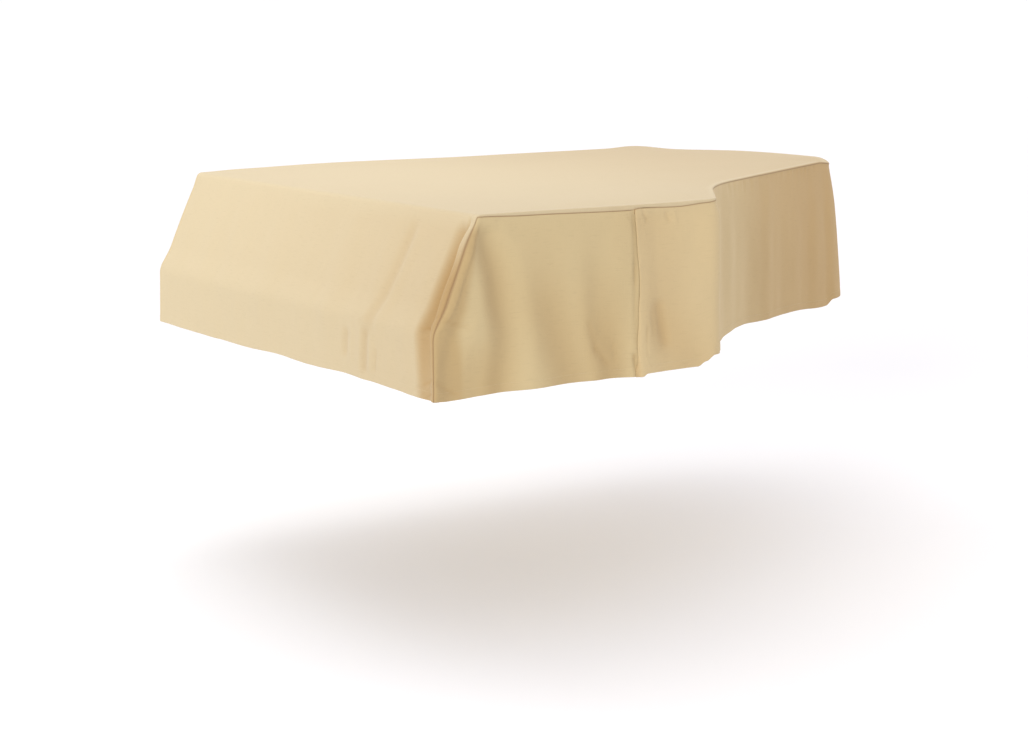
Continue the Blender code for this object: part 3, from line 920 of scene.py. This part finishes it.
def pick(*items):
    """Only ITEMS are selected, and the first is active."""
    for item in bpy.context.selected_objects:
        item.select_set(False)
    for item in items:
        item.select_set(True)
    bpy.context.view_layer.objects.active = items[0] if items else None


def edit(operator, **settings):
    """Use OPERATOR on the whole mesh of the active object."""
    bpy.ops.object.mode_set(mode="EDIT")
    bpy.ops.mesh.select_all(action="SELECT")
    operator(**settings)
    bpy.ops.object.mode_set(mode="OBJECT")


def cloth_grid(name, points, cloth, tuck, tone):
    """A grid primitive whose points take the places POINTS, with the cloth's own coordinates CLOTH.

    SEAM_SHADOW is how much painted shadow each point has deep in a seam, TONE how much painted
    shade it has.
    """
    across, down = points.shape[0] - 1, points.shape[1] - 1
    pick()
    bpy.ops.mesh.primitive_grid_add(x_subdivisions=across, y_subdivisions=down, size=1.0)
    grid = bpy.context.active_object
    grid.name = name
    mesh = grid.data
    flat = np.zeros(len(mesh.vertices) * 3)
    mesh.vertices.foreach_get("co", flat)
    flat = flat.reshape(-1, 3)
    i = np.rint((flat[:, 0] + 0.5) * across).astype(int)
    j = down - np.rint((flat[:, 1] + 0.5) * down).astype(int)
    mesh.vertices.foreach_set("co", points[i, j].ravel())
    loops = np.zeros(len(mesh.loops), int)
    mesh.loops.foreach_get("vertex_index", loops)
    mesh.uv_layers[0].name = "cloth"
    mesh.uv_layers["cloth"].data.foreach_set("uv", cloth[i, j][loops].ravel())
    for attribute_name, values in (("tuck", tuck), ("tone", tone)):
        attribute = mesh.attributes.new(attribute_name, "FLOAT", "POINT")
        attribute.data.foreach_set("value", values[i, j].astype(np.float32))
    mesh.update()
    return grid


def painted_seam_shadow(distances):
    """Painted shadow deep in a seam, from 0 to 1, at DISTANCES from the seam."""
    return 1 - ease(distances / SEAM_SHADE)


def joined(name, grids):
    """GRIDS as one object, their shared edges merged."""
    pick(*grids)
    if len(grids) > 1:
        bpy.ops.object.join()
    edit(bpy.ops.mesh.remove_doubles, threshold=MERGED)
    sheet = bpy.context.active_object
    sheet.name = sheet.data.name = name
    return sheet


def thickened(sheet):
    """The sheet with its cloth's thickness on the inner side, shaded smooth."""
    modifier = sheet.modifiers.new("Cloth", "SOLIDIFY")
    modifier.thickness = bpy.context.scene.cover_cloth.thickness
    modifier.offset = -1.0
    modifier.use_rim = True
    pick(sheet)
    bpy.ops.object.modifier_apply(modifier=modifier.name)
    bpy.ops.object.shade_smooth()
    return sheet


def dress(piece, node, material):
    """The piece stands for its NODE of the frame, rides on its body and takes its finish."""
    piece.data.materials.clear()
    piece.data.materials.append(material)
    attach(piece, BODY)
    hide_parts(node)
    return piece


# ---- shader maths ----

class Nodes:
    """The node tree of a material or a world, with one way to add any node."""

    def __init__(self, owner, shader="Principled BSDF"):
        self.owner = owner
        owner.use_nodes = True
        self.tree = owner.node_tree
        self.shader = self.tree.nodes[shader]

    def add(self, kind, settings=None, inputs=None, output=0):
        """A node of KIND. SETTINGS are set first, then the values or links of its INPUTS."""
        node = self.tree.nodes.new(kind)
        for name, value in (settings or {}).items():
            setattr(node, name, value)
        for name, value in (inputs or {}).items():
            self.put(node.inputs[name], value)
        return Maths(self, node.outputs[output])

    def put(self, socket, value):
        """Link VALUE to SOCKET, or set it there."""
        if isinstance(value, Maths):
            self.tree.links.new(value.socket, socket)
        else:
            socket.default_value = value

    def split(self, vector, axis):
        """The part of VECTOR along AXIS."""
        index = "XYZ".index(axis)
        return self.add("ShaderNodeSeparateXYZ", inputs={"Vector": vector}, output=index)

    def mix(self, factor, one, other, blend="MIX"):
        """Colour ONE with OTHER over it."""
        settings = {"data_type": "RGBA", "blend_type": blend}
        return self.add("ShaderNodeMix", settings, {"Factor": factor, 6: one, 7: other}, output=2)

    def feed(self, **values):
        """Put VALUES on the shader's sockets, named with an underscore for each space."""
        for name, value in values.items():
            self.put(self.shader.inputs[name.replace("_", " ")], value)


class Maths:
    """A socket that takes part in Python expressions, each of which adds a Math node."""

    def __init__(self, nodes, socket):
        self.nodes = nodes
        self.socket = socket

    def sum_up(self, operation, *values):
        return self.nodes.add("ShaderNodeMath", {"operation": operation}, dict(enumerate(values)))

    def __add__(self, other):
        return self.sum_up("ADD", self, other)

    __radd__ = __add__

    def __mul__(self, other):
        return self.sum_up("MULTIPLY", self, other)

    __rmul__ = __mul__

    def sine(self):
        return self.sum_up("SINE", self)

    def smooth(self, low, high):
        """0 below LOW, 1 above HIGH, eased between."""
        inputs = {"Value": self, "From Min": low, "From Max": high}
        return self.nodes.add("ShaderNodeMapRange", {"interpolation_type": "SMOOTHSTEP"}, inputs)


def cotton_material(name, shading_tint):
    """Plain-woven undyed cotton with thick and thin yarns, tinted with painted light and shade for
    its piece, with painted shade where less light reaches it and painted shadow deep in a seam.
    """
    cloth = bpy.context.scene.cover_cloth
    # painted light and shade: each piece's tint of the cotton
    cotton = (*(c * share for c, share in zip(cloth.cotton, shading_tint)), 1.0)
    nodes = Nodes(bpy.data.materials.new(name))
    place = nodes.add("ShaderNodeUVMap", {"uv_map": "cloth"})
    across, down = nodes.split(place, "X"), nodes.split(place, "Y")
    tuck = nodes.add("ShaderNodeAttribute", {"attribute_name": "tuck"}, output=2)
    tone = nodes.add("ShaderNodeAttribute", {"attribute_name": "tone"}, output=2)

    # thick and thin yarns: noise drawn out along each yarn
    def yarns(across_cloth, down_cloth):
        size = (across_cloth, down_cloth, 1.0)
        stretched = nodes.add("ShaderNodeMapping", inputs={"Vector": place, "Scale": size})
        inputs = {"Vector": stretched, "Scale": 1.0, "Detail": 2.0}
        return nodes.add("ShaderNodeTexNoise", {"noise_dimensions": "2D"}, inputs)

    weft = yarns(*WEFT)
    warp = yarns(*WARP)
    slubs = yarns(*SLUBS).smooth(*SLUB_START)
    turns = math.tau / cloth.yarn / 2
    weave = (across * turns).sine() * (down * turns).sine()
    blotches = nodes.add("ShaderNodeTexNoise", {"noise_dimensions": "2D"},
                         {"Vector": place, "Scale": 5.0, "Detail": 3.0, "Roughness": 0.6})

    uneven = 0.965 + weft * 0.035 + warp * 0.03 + slubs * -0.035 + blotches * 0.02 + weave * 0.012
    lit = nodes.mix(1.0, cotton, uneven, "MULTIPLY")
    # painted shade: the cotton is multiplied towards the shade colour where its tone says less
    # light reaches it
    shaded = nodes.mix(tone, lit, (*cloth.shade, 1.0), "MULTIPLY")
    # painted shadow deep in a seam: the colour is mixed towards the seam shadow colour
    nodes.feed(Base_Color=nodes.mix(tuck * 0.85, shaded, (*cloth.seam_shadow_colour, 1.0)))
    nodes.feed(Roughness=0.86 + weft * 0.08, Specular_IOR_Level=0.25)
    nodes.feed(Sheen_Weight=0.08, Sheen_Roughness=0.6)
    height = weave * 0.10 + weft * 0.45 + warp * 0.35 + slubs * 0.6
    relief = {"Strength": 0.35, "Distance": 0.0004, "Height": height}
    nodes.feed(Normal=nodes.add("ShaderNodeBump", inputs=relief))
    return nodes.owner


def thread_material():
    """Sewing thread of two twisted strands."""
    cloth = bpy.context.scene.cover_cloth
    nodes = Nodes(bpy.data.materials.new("cotton_thread"))
    place = nodes.add("ShaderNodeTexCoord", output=3)
    twist = ((nodes.split(place, "X") + nodes.split(place, "Z")) * 6000.0).sine() * 0.5 + 0.5
    dark = (*(c * 0.86 for c in cloth.thread), 1.0)
    nodes.feed(Base_Color=nodes.mix(twist, dark, (*cloth.thread, 1.0)))
    nodes.feed(Roughness=0.7, Sheen_Weight=0.1)
    return nodes.owner


# ---- the pieces ----

def skirt_rows():
    """Shares of the way from the seam to the hem, with both edges turned in, and their depths."""
    length = HEM_LEVEL - ROLL_LENGTH
    places, depths = edged(steps(0.0, length, *SKIRT_ROWS), ALLOWANCE, HEM_TURN)
    return places / length, depths


def skirt_cloth(station, level, down_the_side):
    """The cloth's own coordinates, in metres: level runs and upright yarns."""
    out, down, _ = fall(level)
    _, rolled = side_roll(level)
    down = np.where(level > ROLL_LENGTH, down, rolled)
    drawn = np.where(level > ROLL_LENGTH, out * forward(station), 0.0)
    return np.stack([station + drawn * down_the_side, -down], -1)


def skirt(name, stations, depths, way, seams, rise=None):
    """A piece of skirt over STATIONS, hung from the seam round the top.

    WAY is the direction in which it is drawn forward, SEAMS are its ends that lie in a seam.
    """
    rows, row_depths = skirt_rows()
    station = stations[:, None] + 0.0 * rows[None, :]
    seam = seam_level(station) + SEAM_HALF
    level = mix(seam, HEM_LEVEL, rows[None, :])
    moved = station + lap_shift(station, level)
    points, normals = surface(moved, level, rise(station, level) if rise else 0.0)
    points = points - normals * (depths[:, None] + row_depths[None, :])[..., None]
    gaps = [1.0 + 0.0 * stations]
    gaps += [stations - stations.min()] if "start" in seams else []
    gaps += [stations.max() - stations] if "end" in seams else []
    gap = np.where(depths > TURN, 0.0, np.min(gaps, axis=0)) if seams else gaps[0]
    gap_above = np.where((row_depths > TURN) & (rows < 0.5), 0.0, level - seam)
    tuck = painted_seam_shadow(np.minimum(gap[:, None], gap_above))
    place = skirt_cloth(moved, level, way)
    return cloth_grid(name, points, place, tuck, shade(moved, level, points))


class COVER_OT_treble_side(bpy.types.Operator):
    """Hang the treble side, from the cheek to under the lap"""

    bl_idname = "cover.treble_side"
    bl_label = "Treble side"

    def execute(self, context):
        places = steps(TREBLE_CHEEK + SEAM_HALF, SLIT + LAP_WIDTH, *LAP_COLUMNS)
        stations, depths = edged(places, ALLOWANCE, 0.0)
        grid = skirt("treble_cloth", stations, depths, -1, ("start",))
        piece = thickened(joined("treble_cloth", [grid]))
        dress(piece, "treble_side", cotton_material("treble_cotton", SIDE_SHADE_TINT))
        thread = stitch_row("treble_stitches", TREBLE_CHEEK + STITCH_START, SLIT - 0.001)
        return {"FINISHED"}


class COVER_OT_bent_side(bpy.types.Operator):
    """Hang the bent side, from the lap round the treble corner and the tail"""

    bl_idname = "cover.bent_side"
    bl_label = "Bent side"

    def execute(self, context):
        near_lap = steps(SLIT, SLIT + BESIDE_LAP, *LAP_COLUMNS)
        rest = steps(SLIT + BESIDE_LAP, TAIL_BASS - SEAM_HALF, *BENT_COLUMNS)
        stations, depths = edged(np.concatenate([near_lap[:-1], rest]), ALLOWANCE, ALLOWANCE)
        grid = skirt("bent_cloth", stations, depths, -1, ("end",), lap_rise)
        piece = thickened(joined("bent_cloth", [grid]))
        dress(piece, "bent_side", cotton_material("bent_cotton", BENT_SHADE_TINT))
        start, end = SLIT + STITCH_START, TAIL_BASS - STITCH_START
        thread = stitch_row("bent_stitches", start, end, lap_rise)
        return {"FINISHED"}


class COVER_OT_bass_side(bpy.types.Operator):
    """Hang the straight bass side"""

    bl_idname = "cover.bass_side"
    bl_label = "Bass side"

    def execute(self, context):
        places = steps(TAIL_BASS + SEAM_HALF, PLAN.length - SEAM_HALF, *BASS_COLUMNS)
        stations, depths = edged(places, ALLOWANCE, ALLOWANCE)
        grid = skirt("bass_cloth", stations, depths, 1, ("start", "end"))
        piece = thickened(joined("bass_cloth", [grid]))
        dress(piece, "bass_side", cotton_material("bass_cotton", SIDE_SHADE_TINT))
        thread = stitch_row("bass_stitches", TAIL_BASS + STITCH_START, PLAN.length - STITCH_START)
        return {"FINISHED"}


def top_cloth_place(station, level, points):
    """The top's own cloth coordinates: flat on the lid, and run on down its edges and its front."""
    start, heading = PLAN.at(station)
    front = on_front(station)
    right, back = np.where(front, 0.0, np.sin(heading)), np.where(front, -1.0, -np.cos(heading))
    run = np.stack([right, back], -1) * (level - ROLL_DROP)[..., None]
    start = start - np.array([0.0, ORIGIN_BACK]) + run
    return np.where((level < 0)[..., None], points[..., :2], start)


class COVER_OT_top_and_front(bpy.types.Operator):
    """Lay the top over the lid, and its front down over the keyboard"""

    bl_idname = "cover.top_and_front"
    bl_label = "Top and front"

    def execute(self, context):
        columns = steps(SEAM_HALF, TREBLE_CHEEK - SEAM_HALF, *FRONT_COLUMNS)
        self.stations, self.depths = edged(columns, ALLOWANCE, ALLOWANCE)
        self.side = steps(TREBLE_CHEEK + STEP, PLAN.length - STEP, *LID_COLUMNS)
        piece = thickened(joined("top_cloth", [self.lid(), self.rim(), self.front()]))
        dress(piece, "top_and_front", cotton_material("top_cotton", TOP_LIGHT_TINT))
        thread = stitch_row("front_stitches", STITCH_START, TREBLE_CHEEK - STITCH_START)
        return {"FINISHED"}

    @staticmethod
    def last_level(station):
        """Level at which the cloth on the lid's edge starts to turn in."""
        return seam_level(station) - SEAM_HALF - TURN

    @staticmethod
    def grid(name, station, level, points, tuck):
        """One grid of the top's cloth."""
        place = top_cloth_place(station, level, points)
        return cloth_grid(name, points, place, tuck, shade(station, level, points))

    def lid(self):
        """The cloth on the lid and over its edge, down to where it turns in."""
        flat = self.stations[self.depths == 0.0]
        ring = np.concatenate([[0.0], flat, [TREBLE_CHEEK], self.side, [PLAN.length]])
        inner, outer, over = (np.array(shares) for shares in (LID_INNER, LID_OUTER, LID_OVER))
        middle = reach_to_middle(ring)[:, None]
        last = self.last_level(ring)[:, None]
        level = np.concatenate([-inner * middle, -outer + 0.0 * middle, over * last], 1)
        station = ring[:, None] + 0.0 * level
        points, _ = surface(station, level)
        points[:, 0, :] = points[:, 0, :].mean(0)
        tuck = painted_seam_shadow(last - level + TURN) * np.where(on_front(station), 0.0, 1.0)
        return self.grid("lid_cloth", station, level, points, tuck)

    def rim(self):
        """The turned-in edge along the seam round the top."""
        offset, depth = (np.concatenate([[0.0], values]) for values in turned_in(ALLOWANCE))
        station = self.side[:, None] + 0.0 * offset[None, :]
        level = self.last_level(station) + offset[None, :]
        points, normals = surface(station, level)
        points = points - normals * depth[None, :, None]
        gap = np.where(depth > TURN, 0.0, TURN - offset)[None, :] + 0.0 * level
        return self.grid("rim_cloth", station, level, points, painted_seam_shadow(gap))

    def front(self):
        """The front, from the end of the lid down to its hem, with its sides turned in."""
        length = HEM_LEVEL - ROLL_LENGTH
        places, row_depths = edged(steps(0.0, length, *FRONT_ROWS), 0.0, HEM_TURN)
        station = self.stations[:, None] + 0.0 * places[None, :]
        level = mix(self.last_level(station), HEM_LEVEL, places[None, :] / length)
        points, normals = surface(station, level)
        points = points - normals * (self.depths[:, None] + row_depths[None, :])[..., None]
        gap = np.minimum(self.stations - self.stations.min(), self.stations.max() - self.stations)
        gap = np.where(self.depths > TURN, 0.0, gap)[:, None] + 0.0 * level
        return self.grid("front_cloth", station, level, points, painted_seam_shadow(gap))


# ---- the stitches ----

def one_stitch():
    """Points and faces of one stitch along X, as modelled from a small sphere."""
    pick()
    bpy.ops.mesh.primitive_uv_sphere_add(segments=6, ring_count=4, radius=1.0)
    stitch = bpy.context.active_object
    size = (STITCH_LENGTH / 2, THREAD_WIDTH / 2, THREAD_WIDTH / 2)
    bpy.ops.object.mode_set(mode="EDIT")
    bpy.ops.mesh.select_all(action="SELECT")
    bpy.ops.transform.rotate(value=math.pi / 2, orient_axis="Y", center_override=(0.0, 0.0, 0.0))
    bpy.ops.transform.resize(value=size, center_override=(0.0, 0.0, 0.0))
    bpy.ops.object.mode_set(mode="OBJECT")
    points = np.array([tuple(vertex.co) for vertex in stitch.data.vertices])
    faces = [tuple(face.vertices) for face in stitch.data.polygons]
    bpy.data.objects.remove(stitch, do_unlink=True)
    return points, faces


def stitch_row(name, start, end, rise=None):
    """A row of stitches over the hem, from station START to END, each a copy of one stitch."""
    points, faces = one_stitch()
    count = int((end - start) / STITCH_PITCH)
    station = start + (np.arange(count) + 0.5) * (end - start) / count
    level = np.full(count, HEM_LEVEL - HEM_STITCH)
    moved = station + lap_shift(station, level)
    places, outward = surface(moved, level, rise(station, level) if rise else 0.0)
    after, _ = surface(moved + STEP, level, rise(station + STEP, level) if rise else 0.0)
    onward = unit(after - places)
    down = np.cross(onward, outward)
    more, turns = STITCH_UNEVEN
    lean = STITCH_LEAN + more * np.sin(station * turns)
    ahead = onward + down * lean[:, None]
    cloud = places[:, None] + ahead[:, None] * points[None, :, :1]
    cloud = cloud + down[:, None] * points[None, :, 1:2]
    cloud = cloud + outward[:, None] * (points[None, :, 2:3] + THREAD_WIDTH * STITCH_SEAT)
    firsts = range(0, count * len(points), len(points))
    all_faces = [tuple(first + corner for corner in face) for first in firsts for face in faces]
    mesh = bpy.data.meshes.new(name)
    mesh.from_pydata(cloud.reshape(-1, 3).tolist(), [], all_faces)
    mesh.materials.append(bpy.data.materials.get("cotton_thread") or thread_material())
    row = bpy.data.objects.new(name, mesh)
    bpy.context.scene.collection.objects.link(row)
    pick(row)
    edit(bpy.ops.mesh.normals_make_consistent, inside=False)
    bpy.ops.object.shade_smooth()
    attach(row, BODY)
    return row


# ---- the studio ----

class COVER_OT_studio(bpy.types.Operator):
    """Set up the floor, the lights and the camera"""

    bl_idname = "cover.studio"
    bl_label = "Studio"

    def execute(self, context):
        studio = context.scene.cover_studio
        context.scene.view_settings.view_transform = "Standard"
        world = context.scene.world or bpy.data.worlds.new("studio")
        context.scene.world = world
        nodes = Nodes(world, "Background")
        way = nodes.add("ShaderNodeTexCoord")
        fill = (*(c * studio.fill for c in FILL_COLOUR), 1.0)
        above = nodes.split(way, "Z").smooth(*HORIZON_BAND)
        nodes.feed(Color=nodes.mix(above, (*HORIZON, 1.0), fill))
        self.floor(studio)
        for name, way, spread, colour in SUNS:
            place = [SUN_AWAY * step for step in way]
            sun = self.light("SUN", name + "_light", place, colour, getattr(studio, name))
            sun.data.angle = math.radians(spread)
        for name, place, size, colour in LAMPS:
            lamp = self.light("AREA", name + "_light", place, colour, getattr(studio, name))
            lamp.visible_camera = False
            lamp.data.shape = "DISK"
            lamp.data.size = size
        self.camera()
        return {"FINISHED"}

    @staticmethod
    def floor(studio):
        """A plain pale floor."""
        pick()
        height = LID_TOP - FLOOR_BELOW
        bpy.ops.mesh.primitive_plane_add(size=FLOOR_SIZE, location=(0.0, 0.0, height))
        floor = bpy.context.active_object
        floor.name = "studio_floor"
        nodes = Nodes(bpy.data.materials.new("studio_floor"))
        nodes.feed(Base_Color=(*studio.floor, 1.0), Roughness=0.9, Specular_IOR_Level=0.1)
        floor.data.materials.append(nodes.owner)

    @staticmethod
    def light(kind, name, place, colour, strength):
        """A soft light, turned to the cover."""
        pick()
        bpy.ops.object.light_add(type=kind, location=place)
        light = bpy.context.active_object
        light.name = name
        light.rotation_euler = Vector(place).to_track_quat("Z", "Y").to_euler()
        light.data.energy = strength
        light.data.color = colour
        return light

    @staticmethod
    def camera():
        """The camera, to the right before the keyboard."""
        tilted = Matrix.Rotation(math.pi / 2 - CAMERA_DOWN, 4, "X")
        rolled = Matrix.Rotation(CAMERA_ROLL, 4, "Z")
        turned = Matrix.Rotation(CAMERA_TURN, 4, "Z") @ tilted @ rolled
        pick()
        bpy.ops.object.camera_add(location=CAMERA_PLACE)
        camera = bpy.context.active_object
        camera.name = "camera"
        camera.matrix_world = Matrix.Translation(CAMERA_PLACE) @ turned
        camera.data.sensor_width = SENSOR
        camera.data.lens = LENS
        camera.data.clip_end = SEEN_TO
        bpy.context.scene.camera = camera


class COVER_PT_panel(bpy.types.Panel):
    """Lists the cover's pieces and its settings"""

    bl_idname = "COVER_PT_panel"
    bl_label = "Piano Cover"
    bl_space_type = "VIEW_3D"
    bl_region_type = "UI"
    bl_category = "Piano Cover"

    def draw(self, context):
        layout = self.layout
        for group in (context.scene.cover_cloth, context.scene.cover_studio):
            box = layout.box()
            for name in type(group).__annotations__:
                box.prop(group, name)
        for kind in OPERATORS:
            layout.operator(kind.bl_idname)


OPERATORS = (
    COVER_OT_top_and_front,
    COVER_OT_treble_side,
    COVER_OT_bent_side,
    COVER_OT_bass_side,
    COVER_OT_studio,
)
CLASSES = (ClothSettings, StudioSettings, *OPERATORS, COVER_PT_panel)


def register():
    """Register the classes and their settings."""
    for kind in CLASSES:
        bpy.utils.register_class(kind)
    bpy.types.Scene.cover_cloth = PointerProperty(type=ClothSettings)
    bpy.types.Scene.cover_studio = PointerProperty(type=StudioSettings)


def unregister():
    """Take the settings and the classes away again."""
    del bpy.types.Scene.cover_studio
    del bpy.types.Scene.cover_cloth
    for kind in reversed(CLASSES):
        bpy.utils.unregister_class(kind)


def main():
    """Make all the pieces and the studio."""
    register()
    bpy.ops.cover.top_and_front()
    bpy.ops.cover.treble_side()
    bpy.ops.cover.bent_side()
    bpy.ops.cover.bass_side()
    bpy.ops.cover.studio()


if __name__ == "__main__":
    main()
